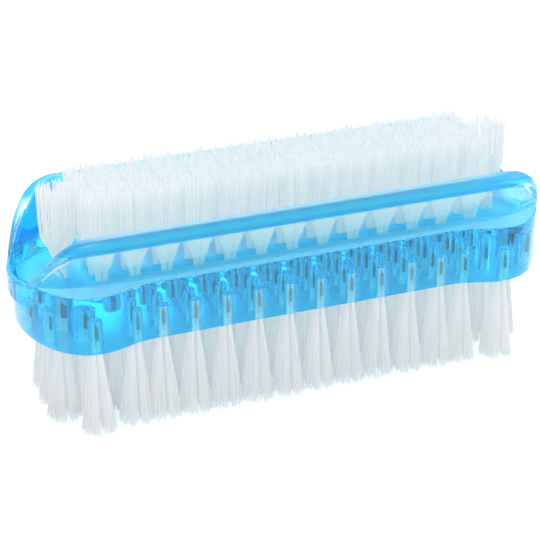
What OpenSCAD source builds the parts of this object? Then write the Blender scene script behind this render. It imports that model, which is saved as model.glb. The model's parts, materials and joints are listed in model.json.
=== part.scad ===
// Double-sided nail brush: a clear moulded body with a channel along its top,
// tufts of nylon filament folded into blind bores on both faces, and a flat
// metal anchor across the fold of each tuft.
// Units are millimetres. +X runs along the brush, +Z is up, and z = 0 is the
// plane of the trimmed lower tips, on which the brush stands.

/* [Block] */
// Length of the brush, over the lips at its two ends
body_l = 95; // [90:0.5:110]
// Width of the block at its waist
waist_w = 26.6; // [26:0.2:30]
// Width of the block across the rounded end lobes
lobe_w = 30.6; // [30:0.2:36]
// Height of the block, from its underside to the ledge outside the walls
block_h = 10.4; // [10.2:0.1:13]
// Depth of the channel floor below the ledge
floor_drop = 1.9; // [1.2:0.1:2.1]

/* [Walls] */
// Height of the rims above the ledge
rim_rise = 9.35; // [6:0.05:12]
// Width across the two rims
rim_w = 29.2; // [28.6:0.1:30.6]
// Thickness of the rim bead
rim_t = 2.9; // [2.4:0.1:3.4]
// Height of the rim bead
rim_h = 2.4; // [1.8:0.1:3]
// Width across the two walls where they meet the ledge
foot_w = 22.6; // [22:0.1:23.6]
// Thickness of the walls
wall_t = 2; // [1.4:0.1:2.4]

/* [Lips] */
// Radius of each lip in plan
lip_r = 12.7; // [12.2:0.1:13.2]
// How far each lip overhangs the end of the block
lip_overhang = 0.9; // [0.3:0.1:1.4]
// Height of a lip's face, from its rounded top to its underside
lip_t = 5; // [3:0.1:5.4]
// Height of a lip above the channel floor
lip_rise = 1.2; // [0.9:0.05:1.6]
// Width of the slope inside each lip, down to the channel floor
lip_slope = 2.2; // [1.6:0.1:3]
// Angle from the end of the brush at which each lip begins to rise
lip_angle = 20; // [10:1:30]
// Angle from the end of the brush at which the rim reaches its full height
rim_angle = 88; // [75:1:90]

/* [Tufts] */
// Length of the filaments below the block
lower_bristle_l = 16; // [10:0.1:22]
// Length of the filaments above the channel floor
upper_bristle_l = 15.4; // [10:0.1:22]
// Diameter of the blind bores
bore_d = 2; // [1.8:0.05:2.2]
// Depth of the bores in the underside
lower_bore_depth = 5.7; // [4.6:0.1:6]
// Depth of the bores in the channel floor
upper_bore_depth = 4.5; // [4.4:0.1:5.2]
// Pitch of the tufts along a row
tuft_pitch = 5.54; // [5.4:0.02:5.7]
// Pitch of the rows on the underside
lower_row_pitch = 5.5; // [5:0.1:5.6]
// Pitch of the rows in the channel
upper_row_pitch = 5; // [4.8:0.1:5.4]
// Distance of the end tufts from the middle of the brush, middle row
end_tuft_x = 41; // [40.8:0.1:42]
// Distance of the end tufts from the middle of the brush, rows beside the middle one
side_tuft_x = 40.6; // [40.6:0.1:41.2]
// Distance of the shoulder tufts from the middle of the brush, outer rows
shoulder_tuft_x = 29.6; // [29.4:0.1:30.4]
// Distance of the lobe tufts from the middle of the brush, outer rows
lobe_tuft_x = 36.5; // [35.4:0.1:37]
// Distance of the lobe tufts inside the widest line of the block
lobe_tuft_inset = 3.3; // [2.9:0.1:3.9]
// Radius over which a tuft has fanned out at its tips
fan_r = 2.25; // [1.4:0.05:2.25]
// Width of a strand at its tip
strand_tip_w = 1.7; // [1:0.05:1.8]

/* [Anchors] */
// Thickness of an anchor plate
anchor_t = 0.45; // [0.25:0.05:0.5]
// Height of an anchor plate
anchor_h = 2; // [1.4:0.1:2.2]
// Depth of an anchor's centre below the mouth of its bore
anchor_depth = 3.05; // [2.6:0.05:3.2]

/* [Hidden] */

// Levels
block_z = lower_bristle_l;
ledge_z = block_z + block_h;
floor_z = ledge_z - floor_drop;
lip_z = floor_z + lip_rise;
rim_z = ledge_z + rim_rise;

// Block outline: each end is half an ellipse, and the waist starts where the
// finger grooves of the sides have run in
block_l = body_l - 2 * lip_overhang;
lobe_end_share = 0.773;
waist_start_share = 0.572;
lobe_x = block_l / 2 * lobe_end_share;
waist_x = block_l / 2 * waist_start_share;
arc_steps = 16;
blend_steps = 6;
overrun = 1;

// Wall sections
end_x = body_l / 2 - lip_r;
station_step = 6;
sweep_power = 1.3;
bead_steps = 6;
bead_round_share = 0.45;
neck_share = 0.8;
bead_overhang = 1.05;
foot_fillet = 0.3;
root_depth = 0.6;
lip_edge_t = 1;
lip_edge_round = 0.55;
lip_chamfer_share = 0.22;
lip_face_shares = [0.6, 0.4, 0.25];
lip_slope_shares = [[0.2, 0.55], [0.55, 0.2]];

// Channel cut: it ends inside the lips and inside the walls
channel_r = foot_w / 2 - wall_t / 2;
channel_end = lip_edge_t / 2;

// Tufts
plug_clearance = 0.05;
plug_end_clearance = 0.1;
anchor_clearance = 0.04;
strand_gap = 0.07;
strand_root = 0.3;
plug_r = bore_d / 2 - plug_clearance;
strand_w = plug_r - plug_clearance - strand_gap;
lobe_tuft_y = lobe_w / 2 - lobe_tuft_inset;
lower_columns = 7;
outer_columns = 5;
upper_columns = 6;
bore_facets = 32;

plastic = [0.16, 0.66, 0.93, 0.75];
nylon = [0.90, 0.92, 0.95];
metal = [0.45, 0.47, 0.50];

// S-shaped step from 0 at s = 0 to 1 at s = 1
function ease(s) = (1 - cos(180 * s)) / 2;

// Outline of one quarter, from the end of the brush to its waist, then mirrored
function mirrored(quarter) = concat(
    quarter,
    [for (i = [len(quarter) - 1 : -1 : 0]) [-quarter[i].x, quarter[i].y]],
    [for (p = quarter) [-p.x, -p.y]],
    [for (i = [len(quarter) - 1 : -1 : 0]) [quarter[i].x, -quarter[i].y]]
);

// Quarter of an ellipse about x = cx, with half-axes a and b
function end_arc(cx, a, b) =
    [for (i = [0.5 : arc_steps]) let (t = 90 * i / arc_steps) [cx + a * cos(t), b * sin(t)]];

// The side runs in from the lobe to the waist
function side_blend() =
    [for (i = [0 : blend_steps]) let (s = i / blend_steps)
        [lobe_x + (waist_x - lobe_x) * s, (lobe_w + (waist_w - lobe_w) * ease(s)) / 2]];

function block_outline() =
    mirrored(concat(end_arc(lobe_x, block_l / 2 - lobe_x, lobe_w / 2), side_blend()));

// The channel's straight sides lie inside the walls, and its ends reach the lips
function channel_outline() = mirrored(end_arc(body_l / 2 - channel_end - channel_r, channel_r, channel_r));

// Rounded top of a wall: out is its outer radius, t its thickness and h the
// height of its rounding
function rounded_top(out, t, h, z) =
    [for (i = [0 : bead_steps]) let (a = 180 * i / bead_steps)
        [out - t / 2 * (1 - cos(a)), z - h * (1 - sin(a))]];

// Section of the wall at the full height of the rim, as [radius, height]
function rim_section() = concat(
    [
        [foot_w / 2 - lip_overhang, floor_z - lip_t],
        [foot_w / 2, floor_z - lip_t * (1 - lip_chamfer_share)],
        [foot_w / 2, ledge_z + foot_fillet],
        [rim_w / 2 - bead_overhang, rim_z - rim_h],
        [rim_w / 2, rim_z - rim_h * neck_share]
    ],
    rounded_top(rim_w / 2, rim_t, rim_h * bead_round_share, rim_z),
    [
        [rim_w / 2 - rim_t, rim_z - rim_h * neck_share],
        [rim_w / 2 - bead_overhang - wall_t, rim_z - rim_h],
        [foot_w / 2 - wall_t, floor_z + foot_fillet],
        [foot_w / 2 - wall_t, floor_z - root_depth]
    ]
);

// Section of the lip at the end of the brush, point for point like the rim's
function lip_section() =
    let (inner = lip_r - lip_edge_t)
    concat(
        [
            [lip_r - lip_overhang, lip_z - lip_t],
            [lip_r, lip_z - lip_t * (1 - lip_chamfer_share)]
        ],
        [for (share = lip_face_shares) [lip_r, lip_z - lip_t * share]],
        rounded_top(lip_r, lip_edge_t, lip_edge_round, lip_z),
        [for (s = lip_slope_shares)
            [inner - lip_slope * s.x, floor_z + (lip_rise - lip_edge_round) * s.y]],
        [[inner - lip_slope, floor_z], [inner - lip_slope, floor_z - root_depth]]
    );

// How far the rim has come down to the lip at an angle a from the brush's end
function sweep(a) = ease(pow(max(0, min(1, (rim_angle - a) / (rim_angle - lip_angle))), sweep_power));

// Height of the crest at an angle a from the brush's end
function crest_z(a) = rim_z + (lip_z - rim_z) * sweep(a);

module shell() {
    rim = rim_section();
    lip = lip_section();
    n = len(rim);
    half = [for (a = [-90 : station_step : 90]) a];
    stations = concat([for (a = half) [a, end_x, 0]], [for (a = half) [a, -end_x, 180]]);
    points = [for (s = stations) for (i = [0 : n - 1])
        let (p = rim[i] + (lip[i] - rim[i]) * sweep(abs(s[0])), t = s[0] + s[2])
        [s[1] + p.x * cos(t), p.x * sin(t), p.y]];
    faces = [for (j = [0 : len(stations) - 1]) for (i = [0 : n - 1])
        let (
            a = j * n + i,
            b = j * n + (i + 1) % n,
            c = (j + 1) % len(stations) * n + (i + 1) % n,
            d = (j + 1) % len(stations) * n + i
        )
        each [[a, b, c], [a, c, d]]];
    polyhedron(points = points, faces = faces);
}

// What the ends of the block lose, so that they stay below the lips' tops
module end_cut() {
    profile = concat(
        [for (a = [rim_angle / 2 : -station_step : 0])
            [end_x + lip_r * cos(a), crest_z(a) - lip_edge_round]],
        [[body_l / 2 + overrun, lip_z - lip_edge_round], [body_l / 2 + overrun, rim_z],
         [end_x + lip_r * cos(rim_angle / 2), rim_z]]
    );
    for (side = [0, 1])
        mirror([side, 0, 0])
            translate([0, lobe_w, 0])
                rotate([90, 0, 0])
                    linear_extrude(height = 2 * lobe_w) polygon(profile);
}

// Blind bores with their mouths at mouth_z, upwards from the underside (up = -1)
// or downwards from the channel floor (up = 1)
module bores(places, depth, mouth_z, up) {
    for (p = places)
        translate([p.x, p.y, up > 0 ? mouth_z - depth : mouth_z - overrun])
            cylinder(h = depth + overrun, d = bore_d, $fn = bore_facets);
}

module body() {
    color(plastic)
    difference() {
        union() {
            difference() {
                translate([0, 0, block_z])
                    linear_extrude(height = block_h) polygon(block_outline());
                translate([0, 0, floor_z])
                    linear_extrude(height = floor_drop + overrun) polygon(channel_outline());
                end_cut();
            }
            shell();
        }
        for (row = lower_rows)
            bores(row, lower_bore_depth, block_z, -1);
        for (row = upper_rows)
            bores(row, upper_bore_depth, floor_z, 1);
    }
}

// Tuft places, one list of [x, y] for each row
function columns(n, shift) =
    [for (k = [0 : n - 1]) for (side = [-1, 1]) side * (k + shift) * tuft_pitch];

function inner_row(y, last_x) =
    concat([for (x = columns(lower_columns, 0.5)) [x, y]], [[-last_x, y], [last_x, y]]);

function outer_row(side) = concat(
    [for (x = columns(outer_columns, 0.5)) [x, side * 2 * lower_row_pitch]],
    [for (s = [-1, 1]) [s * shoulder_tuft_x, side * 2 * lower_row_pitch]],
    [for (s = [-1, 1]) [s * lobe_tuft_x, side * lobe_tuft_y]]
);

function upper_row(n, y) = [for (k = [-n : n]) [k * tuft_pitch, y]];

lower_rows = [
    outer_row(-1),
    inner_row(-lower_row_pitch, side_tuft_x),
    inner_row(0, end_tuft_x),
    inner_row(lower_row_pitch, side_tuft_x),
    outer_row(1)
];
upper_rows = [
    upper_row(upper_columns, -upper_row_pitch),
    upper_row(upper_columns + 1, 0),
    upper_row(upper_columns, upper_row_pitch)
];

// One strand: a kite-shaped section that leaves the plug beside its three
// neighbours, fans out from them as it thickens and ends in a level cut
module strand(quarter, length) {
    kite = [[0, 0], [1, 0], [cos(45), cos(45)], [0, 1]];
    root = [for (p = kite) [strand_gap + strand_w * p.x, strand_gap + strand_w * p.y, -strand_root]];
    lean = fan_r - strand_tip_w;
    tip = [for (p = kite) [lean + strand_tip_w * p.x, lean + strand_tip_w * p.y, length]];
    rotate([0, 0, 90 * quarter])
        polyhedron(
            points = concat(root, tip),
            faces = [
                [0, 1, 2], [0, 2, 3],
                [4, 6, 5], [4, 7, 6],
                [0, 4, 5], [0, 5, 1],
                [1, 5, 6], [1, 6, 2],
                [2, 6, 7], [2, 7, 3],
                [3, 7, 4], [3, 4, 0]
            ]
        );
}

// One tuft, standing on the mouth of its bore at z = 0: the plug of folded
// filament in the bore, slotted for its anchor, and the strands outside
module tuft(bore_depth, length) {
    difference() {
        translate([0, 0, plug_end_clearance - bore_depth])
            cylinder(h = bore_depth - plug_end_clearance, r = plug_r, $fn = bore_facets);
        translate([0, 0, -anchor_depth])
            cube([anchor_t + 2 * anchor_clearance, bore_d, anchor_h + 2 * anchor_clearance], center = true);
    }
    for (quarter = [0 : 3])
        strand(quarter, length);
}

// Tufts of the underside hang down from it, and those of the channel stand up
module lower_tufts(row) {
    color(nylon)
        for (p = lower_rows[row - 1])
            translate([p.x, p.y, block_z])
                rotate([180, 0, 0])
                    tuft(lower_bore_depth, lower_bristle_l);
}

module upper_tufts(row) {
    color(nylon)
        for (p = upper_rows[row - 1])
            translate([p.x, p.y, floor_z])
                tuft(upper_bore_depth, upper_bristle_l);
}

// Anchor plates across a row of bores, centred at the height z
module anchors(places, z) {
    color(metal)
        for (p = places)
            translate([p.x, p.y, z])
                cube([anchor_t, bore_d - 2 * anchor_clearance, anchor_h], center = true);
}

module lower_anchors(row) anchors(lower_rows[row - 1], block_z + anchor_depth);
module upper_anchors(row) anchors(upper_rows[row - 1], floor_z - anchor_depth);

body();
lower_tufts(1);  // bottom_tufts_row_1
lower_tufts(2);  // bottom_tufts_row_2
lower_tufts(3);  // bottom_tufts_row_3
lower_tufts(4);  // bottom_tufts_row_4
lower_tufts(5);  // bottom_tufts_row_5
upper_tufts(1);  // top_tufts_row_1
upper_tufts(2);  // top_tufts_row_2
upper_tufts(3);  // top_tufts_row_3
lower_anchors(1);  // bottom_anchors_row_1
lower_anchors(2);  // bottom_anchors_row_2
lower_anchors(3);  // bottom_anchors_row_3
lower_anchors(4);  // bottom_anchors_row_4
lower_anchors(5);  // bottom_anchors_row_5
upper_anchors(1);  // top_anchors_row_1
upper_anchors(2);  // top_anchors_row_2
upper_anchors(3);  // top_anchors_row_3
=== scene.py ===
"""Looks of a double-sided nail brush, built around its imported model.

The body is one clear cyan moulding with real blind bores, each tuft is a fan
of separate nylon filaments, and a metal anchor plate lies in each bore.
Lengths are metres, +X runs along the brush and it stands on z = 0.
"""
import json
import logging
import math
from dataclasses import dataclass
from enum import Enum
from typing import Any, Sequence

import bmesh
import bpy
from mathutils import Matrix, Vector

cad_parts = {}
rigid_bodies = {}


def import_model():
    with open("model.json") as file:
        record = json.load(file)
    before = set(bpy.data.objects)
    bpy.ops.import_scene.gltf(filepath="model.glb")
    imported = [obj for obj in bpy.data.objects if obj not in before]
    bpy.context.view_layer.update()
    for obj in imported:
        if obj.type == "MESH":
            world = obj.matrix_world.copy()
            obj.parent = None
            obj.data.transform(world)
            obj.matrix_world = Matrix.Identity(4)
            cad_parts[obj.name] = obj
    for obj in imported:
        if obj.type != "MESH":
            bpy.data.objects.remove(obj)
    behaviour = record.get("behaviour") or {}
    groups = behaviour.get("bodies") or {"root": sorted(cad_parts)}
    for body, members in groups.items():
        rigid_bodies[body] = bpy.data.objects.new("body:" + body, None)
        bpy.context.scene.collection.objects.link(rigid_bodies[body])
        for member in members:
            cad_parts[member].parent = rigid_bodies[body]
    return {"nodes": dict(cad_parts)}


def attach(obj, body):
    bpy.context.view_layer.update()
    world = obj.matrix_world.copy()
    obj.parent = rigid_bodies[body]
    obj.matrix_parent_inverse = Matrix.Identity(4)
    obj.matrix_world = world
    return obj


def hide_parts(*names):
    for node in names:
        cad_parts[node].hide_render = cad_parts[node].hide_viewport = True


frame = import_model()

LOG = logging.getLogger("nail_brush")
MM = 0.001
ROOT = "root"
QUARTER_STEPS = 36
HALF_TURN = (0, 180)
BACKDROP_RAYS = ("Is Camera Ray", "Is Glossy Ray", "Is Transmission Ray")
SOFT_RAYS = ("Is Shadow Ray", "Is Diffuse Ray")

Point = tuple[float, float]
Span = tuple[float, float]
Place = tuple[float, float, float]
Colour = tuple[float, float, float]
Object = bpy.types.Object
Material = bpy.types.Material
Socket = bpy.types.NodeSocket


def ease(share: float) -> float:
    """S-shaped step from 0 at share 0 to 1 at share 1."""
    return (1 - math.cos(math.pi * share)) / 2


def arc(centre: Point, radii: Point, angles: Span, steps: int) -> list[Point]:
    """Points along an arc of an ellipse.

    Args:
        centre: Centre of the ellipse.
        radii: Its two half-axes.
        angles: First and last angle, in degrees.
        steps: Number of equal steps.

    Returns:
        The steps + 1 points, from the first angle to the last.
    """
    start, end = angles
    turns = [math.radians(start + (end - start) * i / steps) for i in range(steps + 1)]
    return [(centre[0] + radii[0] * math.cos(a), centre[1] + radii[1] * math.sin(a)) for a in turns]


def quarter(centre: Point, radii: Point) -> list[Point]:
    """Points of a quarter of an ellipse, half a step off both axes so that it can be mirrored."""
    step = 90 / QUARTER_STEPS
    return arc(centre, radii, (step / 2, 90 - step / 2), QUARTER_STEPS - 1)


def between(first: Point, last: Point, steps: int) -> list[Point]:
    """Points at equal steps from the first to the last, both included."""
    return [
        (first[0] + (last[0] - first[0]) * i / steps, first[1] + (last[1] - first[1]) * i / steps)
        for i in range(steps + 1)
    ]


def mirrored(part: Sequence[Point]) -> list[Point]:
    """Closes an outline from its quarter in x > 0, y > 0, given from its end to its side."""
    back = list(reversed(part))
    left = [(-x, y) for x, y in back] + [(-x, -y) for x, y in part]
    return list(part) + left + [(x, -y) for x, y in back]


def inset(outline: Sequence[Point], depth: float) -> list[Point]:
    """Moves each point of a counter-clockwise outline inwards.

    Args:
        outline: Points in counter-clockwise order.
        depth: Distance, square to the outline.

    Returns:
        The moved points, in the same order.
    """
    moved = []
    for i, (x, y) in enumerate(outline):
        before, after = outline[i - 1], outline[(i + 1) % len(outline)]
        along = Vector((after[0] - before[0], after[1] - before[1])).normalized()
        moved.append((x - along.y * depth, y + along.x * depth))
    return moved


def linked(name: str, data: bpy.types.ID) -> Object:
    """Makes an object of a mesh, lamp or camera and links it to the scene."""
    made = bpy.data.objects.new(name, data)
    bpy.context.scene.collection.objects.link(made)
    return made


def mesh_object(
    name: str, points: Sequence[Sequence[float]], faces: Sequence[Sequence[int]]
) -> Object:
    """Makes a mesh object at the origin, with its faces pointing outwards.

    Args:
        name: Name of the object and of its mesh.
        points: Its vertices.
        faces: Lists of vertex numbers.

    Returns:
        The new object, linked to the scene.
    """
    mesh = bpy.data.meshes.new(name)
    mesh.from_pydata([tuple(p) for p in points], [], [tuple(f) for f in faces])
    tidy = bmesh.new()
    tidy.from_mesh(mesh)
    bmesh.ops.recalc_face_normals(tidy, faces=tidy.faces)
    tidy.to_mesh(mesh)
    tidy.free()
    return linked(name, mesh)


def stacked(name: str, layers: Sequence[tuple[Sequence[Point], float]]) -> Object:
    """Makes a closed solid from like outlines at rising heights.

    Args:
        name: Name of the object.
        layers: Each layer's outline and height, from the lowest up.

    Returns:
        The new object.
    """
    count = len(layers[0][0])
    points = [(x, y, z) for outline, z in layers for x, y in outline]
    faces = [list(range(count)), list(range(len(points) - count, len(points)))]
    for layer in range(len(layers) - 1):
        for i in range(count):
            low, following = layer * count + i, layer * count + (i + 1) % count
            faces.append([low, following, following + count, low + count])
    return mesh_object(name, points, faces)


def make_plain(piece: Object) -> None:
    """Turns a piece with its modifiers into one plain mesh.

    Args:
        piece: The object, whose first mesh is deleted.
    """
    bpy.context.view_layer.update()
    evaluated = piece.evaluated_get(bpy.context.evaluated_depsgraph_get())
    result = bpy.data.meshes.new_from_object(evaluated)
    piece.modifiers.clear()
    first, piece.data = piece.data, result
    bpy.data.meshes.remove(first)


def combined(target: Object, tool: Object, operation: str) -> None:
    """Adds a tool solid to a target or cuts it away, and deletes the tool.

    Args:
        target: The solid that changes.
        tool: The solid that is added or cut away.
        operation: UNION or DIFFERENCE.
    """
    change = target.modifiers.new("combine", "BOOLEAN")
    change.object = tool
    change.operation = operation
    change.solver = "MANIFOLD"
    make_plain(target)
    bpy.data.objects.remove(tool)


class Side(Enum):
    """The face of the block that a tuft stands on, as the direction it points in."""

    LOWER = -1
    UPPER = 1


@dataclass(frozen=True)
class Layout:
    """Levels of the brush and places of its tufts."""

    lower_length: float = 16 * MM
    upper_length: float = 15.4 * MM
    block_height: float = 10.4 * MM
    floor_drop: float = 1.9 * MM
    bore_radius: float = 1.0 * MM
    lower_bore_depth: float = 5.7 * MM
    upper_bore_depth: float = 4.5 * MM
    pitch: float = 5.54 * MM
    lower_row_pitch: float = 5.5 * MM
    upper_row_pitch: float = 5.0 * MM
    inner_columns: int = 7
    outer_columns: int = 5
    upper_columns: tuple[int, ...] = (6, 7, 6)
    end_x: float = 41 * MM
    side_end_x: float = 40.6 * MM
    shoulder_x: float = 29.6 * MM
    lobe_x: float = 36.5 * MM
    lobe_y: float = 12 * MM

    @property
    def underside(self) -> float:
        """Height of the block's underside."""
        return self.lower_length

    @property
    def ledge(self) -> float:
        """Height of the ledge outside the walls."""
        return self.lower_length + self.block_height

    @property
    def floor(self) -> float:
        """Height of the channel floor."""
        return self.ledge - self.floor_drop

    @property
    def lower_bore_top(self) -> float:
        """Height of the blind ends of the lower bores."""
        return self.underside + self.lower_bore_depth

    @property
    def upper_bore_foot(self) -> float:
        """Height of the blind ends of the upper bores."""
        return self.floor - self.upper_bore_depth

    def half_columns(self, count: int) -> list[float]:
        """Places of a row's tufts on both sides of the middle, the first half a pitch from it."""
        return [side * (k + 0.5) * self.pitch for k in range(count) for side in (-1, 1)]

    def inner_row(self, y: float, last_x: float) -> list[Point]:
        """Places of an inner lower row, whose end tufts stand at last_x."""
        return [(x, y) for x in self.half_columns(self.inner_columns) + [-last_x, last_x]]

    def outer_row(self, side: int) -> list[Point]:
        """Lays out an outer lower row.

        Args:
            side: -1 for the front row and 1 for the back row.

        Returns:
            Places of its straight run, then of its shoulder and lobe tufts.
        """
        y = side * 2 * self.lower_row_pitch
        columns = self.half_columns(self.outer_columns) + [-self.shoulder_x, self.shoulder_x]
        return [(x, y) for x in columns] + [(x, side * self.lobe_y) for x in (-self.lobe_x, self.lobe_x)]

    def lower_rows(self) -> list[list[Point]]:
        """Places of the five lower rows, from the front."""
        return [
            self.outer_row(-1),
            self.inner_row(-self.lower_row_pitch, self.side_end_x),
            self.inner_row(0.0, self.end_x),
            self.inner_row(self.lower_row_pitch, self.side_end_x),
            self.outer_row(1),
        ]

    def upper_rows(self) -> list[list[Point]]:
        """Places of the three upper rows, from the front."""
        reach = zip((-self.upper_row_pitch, 0.0, self.upper_row_pitch), self.upper_columns)
        return [[(k * self.pitch, y) for k in range(-last, last + 1)] for y, last in reach]


@dataclass(frozen=True)
class ClearBody:
    """The moulded body: a waisted block, flared walls with rims, lips and bores.

    Angles are degrees, and those at the ends of the brush count from its long axis.
    """

    layout: Layout
    length: float = 95 * MM
    waist_width: float = 26.6 * MM
    lobe_width: float = 30.6 * MM
    lobe_share: float = 0.773
    waist_share: float = 0.572
    waist_steps: int = 14
    lip_overhang: float = 0.9 * MM
    lower_edge_round: float = 0.45 * MM
    ledge_edge_round: float = 0.35 * MM
    edge_steps: int = 5
    rim_rise: float = 9.35 * MM
    rim_width: float = 29.2 * MM
    rim_thickness: float = 2.9 * MM
    rim_height: float = 2.4 * MM
    bead_overhang: float = 1.05 * MM
    crown_share: float = 0.72
    bead_steps: int = 14
    foot_width: float = 22.6 * MM
    wall: float = 2 * MM
    wall_steps: int = 3
    foot_fillet: float = 0.6 * MM
    foot_arc: Span = (270, 195)
    foot_sink: float = 0.04 * MM
    foot_lean_share: float = 0.12
    floor_fillet: float = 1.1 * MM
    floor_arc: Span = (0, -80)
    floor_lean_share: float = 0.35
    floor_stretch_share: float = 1.2
    fillet_steps: int = 5
    neck_round: float = 0.5 * MM
    neck_arc: Span = (-60, 0)
    neck_step: float = 0.1 * MM
    hollow_share: float = 0.6
    hollow_arc: Span = (180, 230)
    root_depth: float = 0.6 * MM
    lip_radius: float = 12.7 * MM
    lip_height: float = 5 * MM
    lip_chamfer: float = 1.1 * MM
    lip_rise: float = 1.2 * MM
    lip_slope: float = 2.2 * MM
    lip_edge: float = 1 * MM
    lip_edge_round: float = 0.55 * MM
    slope_start_share: float = 0.02
    slope_sink: float = 0.02 * MM
    lip_angle: float = 20
    rim_angle: float = 88
    sweep_power: float = 1.3
    station_step: int = 2
    bore_sides: int = 28
    bore_bevel: float = 0.4 * MM
    overrun: float = 1 * MM
    crease_angle: float = 32
    level_normal: float = 0.9995
    merge_distance: float = 0.002 * MM

    @property
    def rim_top(self) -> float:
        """Height of the rim."""
        return self.layout.ledge + self.rim_rise

    @property
    def lip_top(self) -> float:
        """Height of the lips."""
        return self.layout.floor + self.lip_rise

    @property
    def end_centre(self) -> float:
        """Distance from the middle to the centre of an end's arcs."""
        return self.length / 2 - self.lip_radius

    @property
    def side_points(self) -> int:
        """Number of points in the rim's section on each side of its bead, from the fillet up."""
        return self.fillet_steps + 1 + 2 * (self.wall_steps + 1)

    def block_outline(self) -> list[Point]:
        """Draws the block: half an ellipse at each end and a waist between.

        Returns:
            The closed outline, counter-clockwise.
        """
        half = self.length / 2 - self.lip_overhang
        lobe_x, waist_x = half * self.lobe_share, half * self.waist_share
        narrowing = self.waist_width - self.lobe_width
        run = [
            (lobe_x + (waist_x - lobe_x) * share, (self.lobe_width + narrowing * ease(share)) / 2)
            for share in (i / self.waist_steps for i in range(self.waist_steps + 1))
        ]
        return mirrored(quarter((lobe_x, 0), (half - lobe_x, self.lobe_width / 2)) + run)

    def block(self) -> Object:
        """Makes the block, with its lower and ledge edges rounded.

        Returns:
            The block, with no channel and no bores.
        """
        outline = self.block_outline()
        low, high = self.lower_edge_round, self.ledge_edge_round
        angles = [math.radians(90 * i / self.edge_steps) for i in range(self.edge_steps + 1)]
        layers = [
            (inset(outline, low * (1 - math.sin(a))), self.layout.underside + low * (1 - math.cos(a)))
            for a in angles
        ]
        layers += [
            (inset(outline, high * (1 - math.cos(a))), self.layout.ledge - high * (1 - math.sin(a)))
            for a in angles
        ]
        return stacked("clear_body", layers)

    def channel(self) -> Object:
        """Makes the solid that clears the channel above its floor.

        Returns:
            A prism with round ends.
        """
        radius = (self.foot_width - self.wall) / 2
        centre = self.length / 2 - self.lip_edge / 2 - radius
        outline = mirrored(quarter((centre, 0), (radius, radius)))
        return stacked("channel", [(outline, self.layout.floor), (outline, self.rim_top)])

    def end_cut(self, side: int) -> Object:
        """Makes the solid that keeps one end of the block below its lip's top.

        Args:
            side: -1 for the left end and 1 for the right end.

        Returns:
            A prism across the whole width.
        """
        radius, drop = self.lip_radius, self.lip_edge_round
        rise = [
            (self.end_centre + radius * math.cos(math.radians(a)), self.crest(a) - drop)
            for a in range(int(self.rim_angle / 2), -1, -self.station_step)
        ]
        past = self.length / 2 + self.wall
        profile = rise + [(past, rise[-1][1]), (past, self.rim_top), (rise[0][0], self.rim_top)]
        count = len(profile)
        points = [(side * x, y, z) for y in (-self.lobe_width, self.lobe_width) for x, z in profile]
        faces = [list(range(count)), list(range(count, 2 * count))]
        faces += [[i, (i + 1) % count, (i + 1) % count + count, i + count] for i in range(count)]
        return mesh_object("end_cut", points, faces)

    def sweep(self, angle: float) -> float:
        """Says how far the rim has come down to the lip: 0 on the straight rim and 1 on the lip."""
        share = (self.rim_angle - angle) / (self.rim_angle - self.lip_angle)
        return ease(max(0.0, min(1.0, share)) ** self.sweep_power)

    def crest(self, angle: float) -> float:
        """Height of the rim's crest at an angle."""
        return self.rim_top + (self.lip_top - self.rim_top) * self.sweep(angle)

    def rim_section(self) -> list[Point]:
        """Draws the section of a wall at its full height.

        Returns:
            Its points as (radius, height), from the outside in.
        """
        foot, rim, bead = self.foot_width / 2, self.rim_width / 2, self.rim_thickness / 2
        ledge, floor, top = self.layout.ledge, self.layout.floor, self.rim_top
        neck, outer, round_off = top - self.rim_height, rim - self.bead_overhang, self.neck_round
        crown, hollow = bead * self.crown_share, round_off * self.hollow_share
        fillet, inner, base = self.foot_fillet, self.floor_fillet, foot - self.wall
        outside = between(
            (foot + fillet * self.foot_lean_share, ledge + fillet),
            (outer - self.neck_step, neck - round_off),
            self.wall_steps,
        )
        inside = between(
            (outer - self.wall - self.neck_step / 2, neck - round_off),
            (base + inner * self.floor_lean_share, floor + inner),
            self.wall_steps,
        )
        floor_radii = (inner * self.floor_stretch_share, inner)
        return (
            [(foot - self.lip_overhang, floor - self.lip_height)]
            + [(foot + fillet, floor - self.lip_height + self.lip_chamfer)]
            + [(foot + fillet, ledge - self.root_depth)]
            + arc((foot + fillet, ledge + fillet - self.foot_sink), (fillet, fillet), self.foot_arc,
                  self.fillet_steps)
            + outside
            + arc((rim - round_off, neck + round_off), (round_off, round_off), self.neck_arc,
                  self.wall_steps)
            + arc((rim - bead, top - crown), (bead, crown), HALF_TURN, self.bead_steps)
            + arc((rim - 2 * bead + hollow, neck + round_off), (hollow, round_off), self.hollow_arc,
                  self.wall_steps)
            + inside
            + arc((base - inner, floor + inner), floor_radii, self.floor_arc, self.fillet_steps)
            + [(base - inner, floor - self.root_depth)]
        )

    def lip_section(self) -> list[Point]:
        """Draws the section of a lip.

        Returns:
            As many points as the rim's section has, each at the like place.
        """
        floor, out, shoulder = self.layout.floor, self.lip_radius, self.lip_top - self.lip_edge_round
        under, inner = self.lip_top - self.lip_height, out - self.lip_edge
        sunk, steps = floor - self.slope_sink, self.side_points - 1
        face = between((out, under + self.lip_chamfer), (out, shoulder), self.side_points + 2)
        edge = (self.lip_edge / 2, self.lip_edge_round)
        slope = [
            (inner - self.lip_slope * share, sunk + (shoulder - sunk) * (1 - share) ** 2)
            for share in (i / steps for i in range(1, steps + 1))
        ]
        return (
            [(out - self.lip_overhang, under)]
            + face[:-1]
            + arc((out - self.lip_edge / 2, shoulder), edge, HALF_TURN, self.bead_steps)
            + [(inner - self.lip_slope * self.slope_start_share, shoulder - self.slope_sink / 2)]
            + slope
            + [(inner - self.lip_slope, floor - self.root_depth)]
        )

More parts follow.
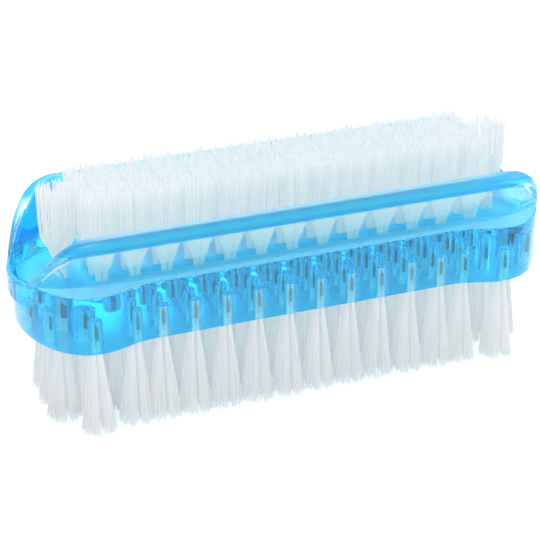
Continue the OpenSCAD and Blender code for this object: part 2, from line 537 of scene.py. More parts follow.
    def walls(self) -> Object:
        """Makes the walls, rims and lips as one closed ring.

        Returns:
            The ring, swept round both ends from the rim's section to the lip's.
        """
        angles = range(-90, 91, self.station_step)
        stations = [(a, self.end_centre, 0) for a in angles] + [(a, -self.end_centre, 180) for a in angles]
        pairs = list(zip(self.rim_section(), self.lip_section(), strict=True))
        count = len(pairs)
        points, faces = [], []
        for angle, centre, turn in stations:
            share = self.sweep(abs(angle))
            direction = math.radians(angle + turn)
            for (rim_r, rim_z), (lip_r, lip_z) in pairs:
                radius = rim_r + (lip_r - rim_r) * share
                height = rim_z + (lip_z - rim_z) * share
                points.append((centre + radius * math.cos(direction), radius * math.sin(direction), height))
        for j in range(len(stations)):
            here, after = j * count, (j + 1) % len(stations) * count
            for i in range(count):
                up = (i + 1) % count
                faces.append([here + i, here + up, after + up, after + i])
        return mesh_object("walls", points, faces)

    def bores(self) -> Object:
        """Makes all the bores, each bevelled at its blind end.

        Returns:
            One object of separate closed cylinders.
        """
        lay, radius, bevel, sides = self.layout, self.layout.bore_radius, self.bore_bevel, self.bore_sides
        spans = [
            (place, lay.underside - self.overrun, lay.lower_bore_top)
            for row in lay.lower_rows() for place in row
        ]
        spans += [
            (place, lay.floor + self.overrun, lay.upper_bore_foot)
            for row in lay.upper_rows() for place in row
        ]
        circle = [2 * math.pi * i / sides for i in range(sides)]
        points, faces = [], []
        for (x, y), start, end in spans:
            first = len(points)
            inner = end + (bevel if start > end else -bevel)
            for z, reach in ((start, radius), (inner, radius), (end, radius - bevel)):
                points += [(x + reach * math.cos(a), y + reach * math.sin(a), z) for a in circle]
            ring = list(range(first, first + sides))
            faces += [ring, [i + 2 * sides for i in ring]]
            for i in range(sides):
                for low in (first, first + sides):
                    a, b = low + i, low + (i + 1) % sides
                    faces.append([a, b, b + sides, a + sides])
        return mesh_object("bores", points, faces)

    def shade(self, body: Object) -> None:
        """Shades the body smooth, with sharp edges at its creases and round its level faces.

        Args:
            body: The whole body.
        """
        tidy = bmesh.new()
        tidy.from_mesh(body.data)
        bmesh.ops.remove_doubles(tidy, verts=tidy.verts, dist=self.merge_distance)
        for face in tidy.faces:
            face.smooth = True
        for edge in tidy.edges:
            level = [abs(face.normal.z) > self.level_normal for face in edge.link_faces]
            flat = edge.calc_face_angle(0.0) < math.radians(self.crease_angle)
            edge.smooth = len(level) == 2 and level[0] == level[1] and flat
        tidy.to_mesh(body.data)
        tidy.free()

    def build(self, finish: Material) -> Object:
        """Makes the whole body.

        Args:
            finish: Material of the clear plastic.

        Returns:
            One closed mesh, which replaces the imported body.
        """
        body = self.block()
        combined(body, self.channel(), "DIFFERENCE")
        combined(body, self.end_cut(-1), "DIFFERENCE")
        combined(body, self.end_cut(1), "DIFFERENCE")
        combined(body, self.walls(), "UNION")
        combined(body, self.bores(), "DIFFERENCE")
        self.shade(body)
        body.data.materials.clear()
        body.data.materials.append(finish)
        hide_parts("body")
        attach(body, ROOT)
        LOG.info("body: %d faces", len(body.data.polygons))
        return body


class NodeTree:
    """A node tree with short calls for adding and linking its nodes."""

    def __init__(self, tree: bpy.types.NodeTree) -> None:
        """Wraps an empty tree."""
        self.tree = tree

    def fill(self, node: bpy.types.Node, inputs: dict[Any, Any]) -> None:
        """Fills sockets of a node.

        Args:
            node: The node.
            inputs: Sockets by name or number, each with a value or another node's output.
        """
        for key, value in inputs.items():
            if isinstance(value, Socket):
                self.tree.links.new(value, node.inputs[key])
            else:
                node.inputs[key].default_value = value

    def add(self, kind: str, inputs: dict[Any, Any] | None = None, **settings: Any) -> bpy.types.Node:
        """Adds a node.

        Args:
            kind: Blender's name of the node type.
            inputs: Sockets to fill, as in fill.
            **settings: Properties of the node.

        Returns:
            The new node.
        """
        node = self.tree.nodes.new(kind)
        for key, value in settings.items():
            setattr(node, key, value)
        self.fill(node, inputs or {})
        return node

    def made(self, kind: str, inputs: dict[Any, Any] | None = None, **settings: Any) -> Socket:
        """Adds a node, and returns its first output."""
        return self.add(kind, inputs, **settings).outputs[0]

    def math(self, operation: str, *values: Any) -> Socket:
        """Adds a Math node on numbers or sockets, and returns its output."""
        return self.made("ShaderNodeMath", dict(enumerate(values)), operation=operation)

    def product(self, first: Any, *others: Any) -> Socket:
        """Multiplies numbers or sockets."""
        for value in others:
            first = self.math("MULTIPLY", first, value)
        return first

    def largest(self, first: Any, *others: Any) -> Socket:
        """Takes the largest of numbers or sockets."""
        for value in others:
            first = self.math("MAXIMUM", first, value)
        return first

    def vector(self, operation: str, *values: Any) -> Socket:
        """Adds a Vector Math node on vectors or sockets, and returns its output."""
        inputs = dict(enumerate(values))
        if operation == "SCALE":
            inputs = {"Vector": values[0], "Scale": values[1]}
        return self.made("ShaderNodeVectorMath", inputs, operation=operation)

    def joined(self, **axes: Any) -> Socket:
        """Makes a vector of the numbers or sockets given as X, Y and Z, each 0 if left out."""
        return self.made("ShaderNodeCombineXYZ", axes)

    def split(self, value: Socket) -> Any:
        """Gives a vector's sockets X, Y and Z."""
        return self.add("ShaderNodeSeparateXYZ", {0: value}).outputs

    def attribute(self, label: str, kind: str = "FLOAT") -> Socket:
        """Reads a named attribute of a geometry."""
        return self.made("GeometryNodeInputNamedAttribute", {"Name": label}, data_type=kind)

    def step(self, value: Socket, span: Span, origin: float = 0.0) -> Socket:
        """Makes a soft mask of a value.

        Args:
            value: The number that the mask depends on.
            span: Where the mask starts to grow from 0, and where it is 1.
            origin: The number that the span counts from.

        Returns:
            The mask.
        """
        inputs = {"Value": value, "From Min": origin + span[0], "From Max": origin + span[1]}
        return self.made("ShaderNodeMapRange", inputs, interpolation_type="SMOOTHSTEP")

    def without(self, mask: Socket, share: float) -> Socket:
        """Makes a factor that is 1 outside a mask and falls by a share inside it."""
        return self.math("MULTIPLY_ADD", mask, -share, 1.0)

    def tint(self, mask: Socket, low: Colour | Socket, high: Colour) -> Socket:
        """Mixes two colours, the first of which may be a socket, by a mask."""
        first = low if isinstance(low, Socket) else (*low, 1)
        return self.add("ShaderNodeMix", {0: mask, 6: first, 7: (*high, 1)}, data_type="RGBA").outputs[2]

    def rays(self, kinds: Sequence[str]) -> Socket:
        """Makes a mask that is 1 on light paths of the kinds named."""
        path = self.add("ShaderNodeLightPath").outputs
        return self.largest(*(path[kind] for kind in kinds))

    def blend(self, mask: Any, first: Socket, second: Socket) -> Socket:
        """Mixes two shaders by a mask: 0 gives the first and 1 the second."""
        return self.made("ShaderNodeMixShader", {0: mask, 1: first, 2: second})


@dataclass(frozen=True)
class FilamentTree:
    """Geometry Nodes that grow a fan of filaments from each vertex of a mesh."""

    name: str = "filament_fans"
    golden_angle: float = 2.39996
    full_turn: float = 6.28318
    profile_sides: int = 5
    straight_share: float = 0.1

    def build(self) -> bpy.types.NodeTree:
        """Builds the tree, with a named input for each size.

        Returns:
            The node group, ready for a modifier.
        """
        tree = bpy.data.node_groups.new(self.name, "GeometryNodeTree")
        tree.is_modifier = True
        kinds = {"Filaments": "Int", "Rings": "Int", "Seed": "Int"}
        kinds |= {"Geometry": "Geometry", "Finish": "Material"}
        for label in (
            "Geometry", "Filaments", "Rings", "Seed", "Finish", "Bundle Radius", "Fan Radius", "Free Length",
            "Seated Length", "Anchor Gap", "Filament Radius", "Raggedness", "Bend", "Spread Length",
            "Spread Power", "Spread Softness", "Direction",
        ):
            kind = "NodeSocket" + kinds.get(label, "Float")
            tree.interface.new_socket(label, in_out="INPUT", socket_type=kind)
        tree.interface.new_socket("Geometry", in_out="OUTPUT", socket_type="NodeSocketGeometry")
        self.fill(NodeTree(tree))
        return tree

    def fill(self, net: NodeTree) -> None:
        """Adds the tree's nodes.

        Args:
            net: The empty tree.
        """
        given = net.add("NodeGroupInput").outputs
        seeds = [net.math("ADD", given["Seed"], float(step)) for step in range(5)]
        copies = net.add(
            "GeometryNodeDuplicateElements", {"Geometry": given["Geometry"], "Amount": given["Filaments"]},
            domain="POINT",
        )
        number = copies.outputs["Duplicate Index"]
        index = net.made("GeometryNodeInputIndex")
        tuft = net.math("FLOOR", net.math("DIVIDE", index, given["Filaments"]))
        share = net.math("SQRT", net.math("DIVIDE", net.math("ADD", number, 0.5), given["Filaments"]))
        turn = self.chance(net, 0.0, self.full_turn, seeds[0], tuft)
        angle = net.math("ADD", net.product(number, self.golden_angle), turn)
        across = net.product(net.math("COSINE", angle), share)
        depth = net.product(net.math("SINE", angle), share)
        spread = net.math("SUBTRACT", given["Bundle Radius"], given["Anchor Gap"])
        beside = net.math("ADD", given["Anchor Gap"], net.product(net.math("ABSOLUTE", across), spread))
        root = net.joined(X=net.product(net.math("SIGN", across), beside),
                          Y=net.product(depth, given["Bundle Radius"]))
        opening = net.math("SUBTRACT", given["Fan Radius"], given["Bundle Radius"])
        lean = net.vector("SCALE", net.joined(X=across, Y=depth), opening)
        stray = self.chance(net, (-1, -1, 0), (1, 1, 0), seeds[1])
        shift = self.chance(net, (-1, -1, 0), (1, 1, 0), seeds[2], tuft)
        kept = copies.outputs["Geometry"]
        for label, kind, value in (
            ("root", "FLOAT_VECTOR", root),
            ("lean", "FLOAT_VECTOR", lean),
            ("stray", "FLOAT_VECTOR", net.vector("ADD", stray, shift)),
            ("short", "FLOAT", self.chance(net, 0.0, 1.0, seeds[3])),
            ("tint", "FLOAT", self.chance(net, 0.0, 1.0, seeds[4])),
        ):
            kept = net.made(
                "GeometryNodeStoreNamedAttribute", {"Geometry": kept, "Name": label, "Value": value},
                data_type=kind, domain="POINT",
            )
        line = net.made("GeometryNodeCurvePrimitiveLine", {"Start": (0, 0, 0), "End": (0, 0, 1)})
        line = net.made("GeometryNodeResampleCurve", {"Curve": line, "Count": given["Rings"]})
        lines = net.made("GeometryNodeInstanceOnPoints", {"Points": kept, "Instance": line})
        lines = net.made("GeometryNodeRealizeInstances", {"Geometry": lines})
        profile = {"Resolution": self.profile_sides, "Radius": given["Filament Radius"]}
        circle = net.made("GeometryNodeCurvePrimitiveCircle", profile)
        curves = self.grown(net, given, lines)
        tubes = net.made(
            "GeometryNodeCurveToMesh", {"Curve": curves, "Profile Curve": circle, "Fill Caps": True}
        )
        tubes = net.made("GeometryNodeSetShadeSmooth", {"Geometry": tubes})
        tubes = net.made("GeometryNodeRealizeInstances", {"Geometry": tubes})
        tubes = net.made("GeometryNodeSetMaterial", {"Geometry": tubes, "Material": given["Finish"]})
        net.add("NodeGroupOutput", {"Geometry": tubes})

    def grown(self, net: NodeTree, given: Any, lines: Socket) -> Socket:
        """Bends each straight unit line into its filament.

        A line's first ring becomes the seated end, its second lies at the bore's
        mouth, and the others share the free length.

        Args:
            net: The tree.
            given: The group's inputs.
            lines: The realized unit lines, one for each filament.

        Returns:
            The curves in place.
        """
        position = net.made("GeometryNodeInputPosition")
        along = net.add("GeometryNodeSplineParameter").outputs["Factor"]
        mouth = net.vector("SUBTRACT", position, net.joined(Z=along))
        first = net.math("DIVIDE", 1.0, net.math("SUBTRACT", given["Rings"], 1.0))
        seated = net.math("SUBTRACT", net.math("MINIMUM", net.math("DIVIDE", along, first), 1.0), 1.0)
        past = net.math("DIVIDE", net.math("MAXIMUM", net.math("SUBTRACT", along, first), 0.0),
                        net.math("SUBTRACT", 1.0, first))
        length = net.math("SUBTRACT", given["Free Length"],
                          net.product(net.attribute("short"), given["Raggedness"]))
        height = net.math("ADD", net.product(seated, given["Seated Length"]), net.product(past, length))
        above = net.math("MAXIMUM", height, 0.0)
        free = net.math("DIVIDE", above, given["Free Length"])
        near = net.math("MINIMUM", net.math("DIVIDE", above, given["Spread Length"]), 1.0)
        near = net.math("POWER", near, given["Spread Power"])
        curved = net.product(near, near, net.math("MULTIPLY_ADD", near, -2.0, 3.0))
        flare = net.math("MULTIPLY_ADD", net.math("SUBTRACT", curved, near), given["Spread Softness"], near)
        opened = net.math("MULTIPLY_ADD", net.math("SUBTRACT", free, flare), self.straight_share, flare)
        fan = net.vector("SCALE", net.attribute("lean", "FLOAT_VECTOR"), opened)
        bend = net.vector("SCALE", net.attribute("stray", "FLOAT_VECTOR"),
                          net.product(net.math("POWER", free, 2.0), given["Bend"]))
        side = net.vector("ADD", net.attribute("root", "FLOAT_VECTOR"), net.vector("ADD", fan, bend))
        rise = net.joined(Z=net.product(height, given["Direction"]))
        target = net.vector("ADD", mouth, net.vector("ADD", side, rise))
        return net.made("GeometryNodeSetPosition", {"Geometry": lines, "Position": target})

    @staticmethod
    def chance(net: NodeTree, low: Any, high: Any, seed: Socket, key: Socket | None = None) -> Socket:
        """Adds a random value.

        Args:
            net: The tree.
            low: Its least value, a number or a vector.
            high: Its greatest value, of the same kind.
            seed: Seed of the draw.
            key: What one value is drawn for each of, if not the element itself.

        Returns:
            The value.
        """
        number = isinstance(low, float)
        first, kind = (2, "FLOAT") if number else (0, "FLOAT_VECTOR")
        inputs = {first: low, first + 1: high, "Seed": seed} | ({} if key is None else {"ID": key})
        return net.add("FunctionNodeRandomValue", inputs, data_type=kind).outputs[1 if number else 0]


@dataclass(frozen=True)
class TuftRow:
    """One row of tufts, grown as separate filaments."""

    node: str
    places: tuple[Point, ...]
    side: Side
    layout: Layout
    seed: int
    filaments: int = 150
    bundle_radius: float = 0.83 * MM
    lower_fan_radius: float = 3.0 * MM
    upper_fan_radius: float = 3.2 * MM
    upper_spread: float = 7 * MM
    upper_power: float = 1.6
    lower_rings: int = 7
    upper_rings: int = 9
    anchor_gap: float = 0.3 * MM
    filament_radius: float = 0.07 * MM
    raggedness: float = 0.6 * MM
    lower_bend: float = 0.15 * MM
    upper_bend: float = 0.22 * MM
    end_clearance: float = 0.42 * MM
    tip_clearance: float = 0.01 * MM

    def sizes(self) -> dict[str, float]:
        """Works out what differs between the lower and the upper rows.

        Returns:
            Values of the tree's inputs, by their names.
        """
        lay = self.layout
        if self.side is Side.LOWER:
            return {
                "Fan Radius": self.lower_fan_radius, "Free Length": lay.lower_length - self.tip_clearance,
                "Seated Length": lay.lower_bore_depth - self.end_clearance, "Bend": self.lower_bend,
                "Spread Length": lay.lower_length, "Spread Power": 1.0, "Spread Softness": 0.0,
                "Rings": self.lower_rings,
            }
        return {
            "Fan Radius": self.upper_fan_radius, "Free Length": lay.upper_length - self.tip_clearance,
            "Seated Length": lay.upper_bore_depth - self.end_clearance, "Bend": self.upper_bend,
            "Spread Length": self.upper_spread, "Spread Power": self.upper_power, "Spread Softness": 1.0,
            "Rings": self.upper_rings,
        }

    def build(self, tree: bpy.types.NodeTree, finish: Material) -> Object:
        """Grows the row.

        Args:
            tree: The Geometry Nodes tree of the filaments.
            finish: Material of the filaments.

        Returns:
            One plain mesh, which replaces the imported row.
        """
        mouth = self.layout.underside if self.side is Side.LOWER else self.layout.floor
        name = self.node.replace("tufts", "filaments")
        seedbed = bpy.data.meshes.new(name)
        seedbed.from_pydata([(x, y, mouth) for x, y in self.places], [], [])
        row = linked(name, seedbed)
        grow = row.modifiers.new("grow", "NODES")
        grow.node_group = tree
        self.fill_inputs(grow, self.sizes() | {
            "Filaments": self.filaments, "Bundle Radius": self.bundle_radius, "Anchor Gap": self.anchor_gap,
            "Filament Radius": self.filament_radius, "Raggedness": self.raggedness,
            "Direction": float(self.side.value), "Seed": self.seed, "Finish": finish,
        })
        make_plain(row)
        row.data.name = name
        row.visible_diffuse = False
        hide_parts(self.node)
        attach(row, ROOT)
        LOG.info("%s: %d tufts, %d faces", name, len(self.places), len(row.data.polygons))
        return row

    @staticmethod
    def fill_inputs(modifier: bpy.types.NodesModifier, values: dict[str, Any]) -> None:
        """Sets a modifier's inputs by their socket identifiers.

        Args:
            modifier: The Geometry Nodes modifier.
            values: Each input's name and value.
        """
        for item in modifier.node_group.interface.items_tree:
            if item.item_type == "SOCKET" and item.in_out == "INPUT" and item.name in values:
                modifier[item.identifier] = values[item.name]


@dataclass(frozen=True)
class Mottling:
    """Shared group of fine unevenness: two masks from 0 to 1 and a height."""

    name: str = "fine_mottling"
    grain_detail: float = 3.0
    cloud_detail: float = 1.0
    grain_share: float = 0.3

    def build(self) -> bpy.types.NodeTree:
        """Builds the group.

        Returns:
            The node group, with the scales of the fine and the wide noise as inputs.
        """
        tree = bpy.data.node_groups.new(self.name, "ShaderNodeTree")
        tree.interface.new_socket("Vector", in_out="INPUT", socket_type="NodeSocketVector")
        for label in ("Grain Scale", "Cloud Scale"):
            tree.interface.new_socket(label, in_out="INPUT", socket_type="NodeSocketFloat")
        for label in ("Grain", "Cloud", "Height"):
            tree.interface.new_socket(label, in_out="OUTPUT", socket_type="NodeSocketFloat")
        net = NodeTree(tree)
        given = net.add("NodeGroupInput").outputs
        fine = {"Vector": given["Vector"], "Scale": given["Grain Scale"], "Detail": self.grain_detail}
        wide = {"Vector": given["Vector"], "Scale": given["Cloud Scale"], "Detail": self.cloud_detail}
        grain, cloud = net.made("ShaderNodeTexNoise", fine), net.made("ShaderNodeTexNoise", wide)
        height = net.math("ADD", net.product(grain, self.grain_share), cloud)
        net.add("NodeGroupOutput", {"Grain": grain, "Cloud": cloud, "Height": height})
        return tree


@dataclass(frozen=True)
class Finish:
    """A named material and the shared group that its surface detail comes from.

    The scales of the fine and the wide noise are per metre, and the stretch
    scales the whole pattern along each axis.
    """

    name: str
    detail: bpy.types.NodeTree
    grain_scale: float
    cloud_scale: float
    stretch: Place = (1, 1, 1)

    def start(self) -> tuple[Any, ...]:
        """Starts the material.

        Returns:
            The material, its wrapped tree, its Principled shader, the outputs of
            the detail group and the material's output node.
        """
        material = bpy.data.materials.new(self.name)
        material.use_nodes = True
        material.node_tree.nodes.clear()
        net = NodeTree(material.node_tree)
        place = net.add("ShaderNodeTexCoord").outputs["Object"]
        placed = net.made("ShaderNodeMapping", {"Vector": place, "Scale": self.stretch})
        detail = net.add(
            "ShaderNodeGroup",
            {"Vector": placed, "Grain Scale": self.grain_scale, "Cloud Scale": self.cloud_scale},
            node_tree=self.detail,
        ).outputs
        shader = net.add("ShaderNodeBsdfPrincipled")
        output = net.add("ShaderNodeOutputMaterial", {"Surface": shader.outputs[0]})
        return material, net, shader, detail, output


@dataclass(frozen=True, kw_only=True)
class ClearPlastic(Finish):
    """Clear cyan plastic: colour grows with the depth of plastic that light crosses.

    A tint and a frosting of its surface differ by region, and the upper bore
    walls carry painted shade, tinted towards azure. The pane is the outer
    face in front of the near lower bores. A span gives where a region's soft edge
    starts and where the region is full. A top, foot, crest or middle counts from
    a level of the body, pane_edge from a bore's axis, and a side, end, start or
    face from the middle of the brush. The spans upright and level are of the
    normal's rise, and end_turn of how far the surface faces away from the middle.
    """

    body: ClearBody
    grain_scale: float = 1400
    cloud_scale: float = 110
    stretch: Place = (1, 1, 0.2)
    pale: Colour = (0.975, 0.985, 1.0)
    deep: Colour = (0.02, 0.75, 1.0)
    azure: Colour = (0.005, 0.38, 0.93)
    veil: Colour = (0.96, 0.99, 1.0)
    absorbed: Colour = (0.02, 0.87, 1.0)
    ledge_haze: Colour = (0.34, 0.76, 0.98)
    density: float = 110
    clearness: float = 0.96
    refraction: float = 1.5
    cloudiness: float = 0.1
    grain_roughness: float = 0.05
    frosting: float = 0.45
    rim_frosting: float = 0.28
    bump_strength: float = 0.25
    bump_depth: float = 0.1 * MM
    block_share: float = 0.95
    bore_share: float = 0.95
    pane_share: float = 0.42
    wall_share: float = 0.42
    upper_bore_painted_shade: float = 0.35
    # painted shade: share by which the upper bore walls are tinted towards azure, which darkens the top
    # tufts seen in them
    rim_azure_share: float = 0.25
    haze_share: float = 0.5
    upright: Span = (0.7, 0.3)
    level: Span = (0.9, 0.98)
    lobe_start: Span = (30 * MM, 33 * MM)
    lobe_shift: float = 0.9 * MM
    bored_side: Span = (12.45 * MM, 12.25 * MM)
    bored_end: Span = (42.6 * MM, 42.3 * MM)
    upper_foot: Span = (0.05 * MM, 0.25 * MM)
    upper_side: Span = (6.35 * MM, 6.15 * MM)
    pane_edge: Span = (1.4 * MM, 0.6 * MM)
    pane_top: Span = (0.5 * MM, -0.5 * MM)
    pane_end: Span = (27.5 * MM, 26.5 * MM)
    pane_face: Span = (12.6 * MM, 12.9 * MM)
    block_top: Span = (-0.05 * MM, -0.2 * MM)
    rim_foot: Span = (-3.0 * MM, -2.3 * MM)
    rim_crest: Span = (1.5 * MM, -1.5 * MM)
    rim_middle: Span = (-0.9 * MM, -1.9 * MM)
    bead_foot: Span = (-2.8 * MM, -2.2 * MM)
    end_turn: Span = (0.0, -8 * MM)
    end_start: Span = (33 * MM, 38 * MM)
    end_foot: Span = (-1 * MM, 1 * MM)
    fillet_foot: Span = (-0.06 * MM, -0.02 * MM)
    fillet_top: Span = (0.9 * MM, 0.6 * MM)

    def regions(self, net: NodeTree) -> dict[str, Socket]:
        """Makes the masks of the surface's regions.

        Args:
            net: The material's tree.

        Returns:
            Each region's mask, by its name.
        """
        lay, ledge, rim_top = self.body.layout, self.body.layout.ledge, self.body.rim_top
        place = net.split(net.add("ShaderNodeTexCoord").outputs["Object"])
        facing = net.split(net.add("ShaderNodeNewGeometry").outputs["Normal"])
        height, along = place["Z"], net.math("ABSOLUTE", place["X"])
        across = net.math("ABSOLUTE", place["Y"])
        upright = net.step(net.math("ABSOLUTE", facing["Z"]), self.upright)
        lobes = net.product(net.step(along, self.lobe_start), self.lobe_shift)
        bored = net.product(
            net.step(net.math("SUBTRACT", across, lobes), self.bored_side),
            net.step(along, self.bored_end),
            upright,
        )
        phase = net.math("FRACT", net.math("DIVIDE", place["X"], lay.pitch))
        beside = net.product(net.math("ABSOLUTE", net.math("SUBTRACT", phase, 0.5)), lay.pitch)
        pane = net.product(
            net.step(beside, self.pane_edge),
            net.step(height, self.pane_top, lay.lower_bore_top),
            net.step(along, self.pane_end),
            net.step(across, self.pane_face),
            upright,
        )
        inward = net.math("MULTIPLY_ADD", place["X"], facing["X"], net.product(place["Y"], facing["Y"]))
        rim = net.step(height, self.rim_foot, rim_top)
        return {
            "block": net.product(net.step(height, self.block_top, ledge),
                                 net.without(bored, self.bore_share), net.without(pane, self.pane_share)),
            "wall": net.step(height, (rim_top + self.rim_foot[0], ledge)),
            "rim": net.product(rim, net.step(height, self.rim_crest, rim_top)),
            "lower rim": net.product(rim, net.step(height, self.rim_middle, rim_top)),
            "bead": net.step(height, self.bead_foot, rim_top),
            # painted shade: mask of the upper bore walls, which are tinted towards azure
            "upper bores": net.product(bored, net.step(height, self.upper_foot, lay.lower_bore_top),
                                       net.step(across, self.upper_side)),
            "ends": net.product(net.step(inward, self.end_turn), net.step(along, self.end_start),
                                net.step(height, self.end_foot, ledge)),
            "fillet": net.product(net.step(height, self.fillet_foot, ledge),
                                  net.step(height, self.fillet_top, ledge)),
            "level": net.step(facing["Z"], self.level),
        }

    def build(self) -> Material:
        """Builds the material.

        Returns:
            The clear plastic, with its colour in its depth and on its surface.
        """
        material, net, shader, detail, output = self.start()
        region = self.regions(net)
        depth = net.largest(net.product(region["block"], self.block_share),
                            net.product(region["wall"], self.wall_share), region["rim"])
        uneven = net.math("MULTIPLY_ADD", detail["Cloud"], self.cloudiness, 1 - self.cloudiness / 2)
        colour = net.tint(net.product(depth, uneven), self.pale, self.deep)
        # mask towards azure: the inner faces at the ends, the lower rim band, and painted shade on the upper
        # bore walls
        azure_and_painted_shade = net.largest(region["ends"], net.product(region["upper bores"], self.upper_bore_painted_shade),
                            net.product(region["lower rim"], self.rim_azure_share))
        frost = net.largest(net.product(net.largest(region["level"], region["fillet"]), self.frosting),
                            net.product(region["bead"], self.rim_frosting))
        relief = {"Height": detail["Height"], "Strength": self.bump_strength, "Distance": self.bump_depth}
        net.fill(shader, {
            "Base Color": net.tint(azure_and_painted_shade, colour, self.azure),
            "Roughness": net.math("MULTIPLY_ADD", detail["Grain"], self.grain_roughness, frost),
            "Transmission Weight": self.clearness,
            "IOR": self.refraction,
            "Normal": net.made("ShaderNodeBump", relief),
        })
        haze = net.made("ShaderNodeBsdfDiffuse", {"Color": (*self.ledge_haze, 1)})
        hazy = net.product(region["fillet"], region["level"], self.haze_share)
        clear = net.made("ShaderNodeBsdfTransparent", {"Color": (*self.veil, 1)})
        surface = net.blend(net.rays(SOFT_RAYS), net.blend(hazy, shader.outputs[0], haze), clear)
        dye = {"Color": (*self.absorbed, 1), "Density": self.density}
        net.fill(output, {"Surface": surface, "Volume": net.made("ShaderNodeVolumeAbsorption", dye)})
        return material


@dataclass(frozen=True)
class NylonFilament(Finish):
    """Translucent white nylon, each filament a little different."""

    grain_scale: float = 1500
    cloud_scale: float = 160
    stretch: Place = (1, 1, 0.15)
    shade: Colour = (0.91, 0.825, 0.875)
    light: Colour = (0.985, 0.885, 0.935)
    own_share: float = 0.6
    cloud_share: float = 0.5
    roughness: float = 0.25
    grain_roughness: float = 0.2
    refraction: float = 1.53
    glow_depth: float = 0.3 * MM
    passed: float = 0.75

    def build(self) -> Material:
        """Builds the material.

        Returns:
            The nylon, which reads the filaments' attribute tint.
        """
        material, net, shader, detail, output = self.start()
        own = net.add("ShaderNodeAttribute", attribute_name="tint").outputs["Fac"]
        cloud = net.product(detail["Cloud"], self.cloud_share)
        mask = net.math("ADD", net.product(own, self.own_share), cloud)
        net.fill(shader, {
            "Base Color": net.tint(mask, self.shade, self.light),
            "Roughness": net.math("MULTIPLY_ADD", detail["Grain"], self.grain_roughness, self.roughness),
            "IOR": self.refraction,
            "Subsurface Weight": 1,
            "Subsurface Radius": (1, 1, 1),
            "Subsurface Scale": self.glow_depth,
        })
        matt = net.made("ShaderNodeBsdfDiffuse", {"Color": (*self.light, 1)})
        thin = net.blend(self.passed, matt, net.made("ShaderNodeBsdfTransparent"))
        net.fill(output, {"Surface": net.blend(net.rays(SOFT_RAYS), shader.outputs[0], thin)})
        return material


@dataclass(frozen=True)
class AnchorSteel(Finish):
    """Drawn flat wire, grey with faint draw marks."""

    grain_scale: float = 2500
    cloud_scale: float = 400
    stretch: Place = (1, 0.1, 1)
    dark: Colour = (0.22, 0.21, 0.24)
    bright: Colour = (0.48, 0.46, 0.50)
    roughness: float = 0.25
    cloud_roughness: float = 0.3

    def build(self) -> Material:
        """Builds the material.

        Returns:
            The steel.
        """
        material, net, shader, detail, _ = self.start()
        net.fill(shader, {
            "Base Color": net.tint(detail["Grain"], self.dark, self.bright),
            "Metallic": 1,
            "Roughness": net.math("MULTIPLY_ADD", detail["Cloud"], self.cloud_roughness, self.roughness),
        })
        return material


@dataclass(frozen=True)
class PaleFloor(Finish):
    """Pale paper that the brush stands on."""

    grain_scale: float = 300
    cloud_scale: float = 12
    dull: Colour = (0.93, 0.93, 0.93)
    clean: Colour = (0.96, 0.96, 0.96)
    roughness: float = 0.9
    gloss: float = 0.1
    lift: float = 0.3

    def build(self) -> Material:
        """Builds the material.

        Returns:
            The paper, a little lifted towards white where it is seen.
        """
        material, net, shader, detail, _ = self.start()
        net.fill(shader, {
            "Base Color": net.tint(detail["Cloud"], self.dull, self.clean),
            "Roughness": self.roughness,
            "Specular IOR Level": self.gloss,
            "Emission Color": (1, 1, 1, 1),
            "Emission Strength": net.product(net.rays(BACKDROP_RAYS), self.lift),
        })
        return material


@dataclass(frozen=True)
class Lamp:
    """A square soft lamp that faces a target, with its power in watts."""

    name: str
    place: Place
    power: float
    size: float = 0.5
    target: Place = (0, 0, 0.02)

    def hang(self) -> None:
        """Hangs the lamp in the scene."""
        light = bpy.data.lights.new(self.name, "AREA")
        light.size = self.size
        light.energy = self.power
        lamp = linked(self.name, light)
        lamp.location = self.place
        lamp.rotation_euler = (Vector(self.target) - Vector(self.place)).to_track_quat("-Z", "Y").to_euler()


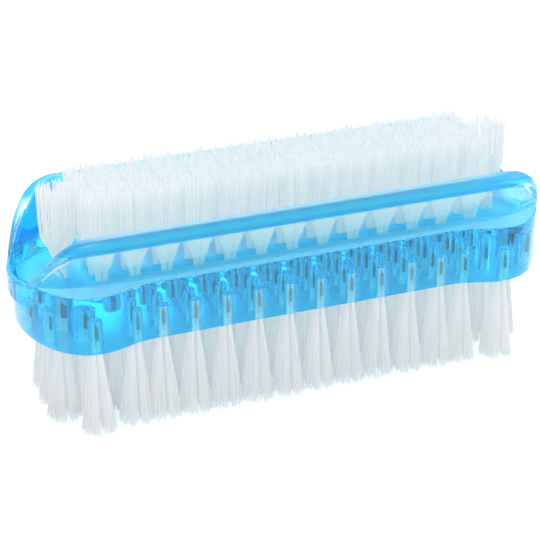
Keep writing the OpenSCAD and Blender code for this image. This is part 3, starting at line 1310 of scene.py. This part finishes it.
@dataclass(frozen=True)
class Studio:
    """Floor, lamps, world and camera."""

    floor_size: float = 3.0
    camera_place: Place = (-0.099187, -0.258632, 0.160864)
    camera_turn: Place = (62.616, 0.0, -20.633)
    focal_length: float = 120
    sensor: float = 36
    near_limit: float = 0.01
    bounces: int = 24
    surround: float = 0.52
    lamps: tuple[Lamp, ...] = (
        Lamp("key", (-0.35, -0.45, 0.75), 3.4),
        Lamp("fill", (0.6, -0.2, 0.5), 2.0),
        Lamp("back", (0.1, 0.6, 0.6), 2.6),
    )

    def floor(self, finish: Material) -> None:
        """Lays the floor under the brush.

        Args:
            finish: Material of the floor.
        """
        half = self.floor_size / 2
        corners = [(-half, -half, 0), (half, -half, 0), (half, half, 0), (-half, half, 0)]
        floor = mesh_object("floor", corners, [[0, 1, 2, 3]])
        floor.data.materials.append(finish)

    def world(self) -> None:
        """Makes a plain white surround: full white where it is seen, softer as light."""
        world = bpy.data.worlds.new("studio")
        bpy.context.scene.world = world
        world.use_nodes = True
        world.node_tree.nodes.clear()
        net = NodeTree(world.node_tree)
        strength = net.math("MULTIPLY_ADD", net.rays(BACKDROP_RAYS), 1 - self.surround, self.surround)
        back = net.add("ShaderNodeBackground", {"Color": (1, 1, 1, 1), "Strength": strength})
        net.add("ShaderNodeOutputWorld", {"Surface": back.outputs[0]})

    def light_paths(self) -> None:
        """Lets light cross enough plastic and filaments to reach the middle of the block."""
        paths = bpy.context.scene.cycles
        paths.max_bounces = self.bounces
        paths.transmission_bounces = self.bounces
        paths.glossy_bounces = self.bounces // 2
        paths.diffuse_bounces = self.bounces // 3
        paths.transparent_max_bounces = self.bounces

    def camera(self) -> None:
        """Places the camera at the photograph's angle."""
        data = bpy.data.cameras.new("camera")
        data.lens = self.focal_length
        data.sensor_width = self.sensor
        data.clip_start = self.near_limit
        camera = linked("camera", data)
        camera.location = self.camera_place
        camera.rotation_euler = tuple(math.radians(a) for a in self.camera_turn)
        bpy.context.scene.camera = camera

    def build(self, finish: Material) -> None:
        """Sets up the whole studio.

        Args:
            finish: Material of the floor.
        """
        self.floor(finish)
        self.world()
        for lamp in self.lamps:
            lamp.hang()
        self.camera()
        self.light_paths()
        bpy.context.scene.view_settings.view_transform = "Standard"


def dress_anchors(finish: Material) -> None:
    """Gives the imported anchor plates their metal.

    Args:
        finish: Material of the plates.
    """
    for name, node in frame["nodes"].items():
        if "anchors" in name:
            for slot in node.material_slots:
                slot.material = finish
            LOG.info("%s: plates dressed", name)


def main() -> None:
    """Builds the brush and its studio."""
    logging.basicConfig(level=logging.INFO, format="%(name)s %(message)s")
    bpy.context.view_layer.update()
    detail = Mottling().build()
    layout = Layout()
    body = ClearBody(layout)
    body.build(ClearPlastic("clear_cyan_plastic", detail, body=body).build())
    tree = FilamentTree().build()
    nylon = NylonFilament("white_nylon", detail).build()
    for side, rows, name, first_seed in (
        (Side.LOWER, layout.lower_rows(), "bottom", 0),
        (Side.UPPER, layout.upper_rows(), "top", 100),
    ):
        for number, places in enumerate(rows, 1):
            node, seed = f"{name}_tufts_row_{number}", first_seed + 10 * number
            TuftRow(node, tuple(places), side, layout, seed).build(tree, nylon)
    dress_anchors(AnchorSteel("anchor_steel", detail).build())
    Studio().build(PaleFloor("pale_floor", detail).build())


if __name__ == "__main__":
    main()
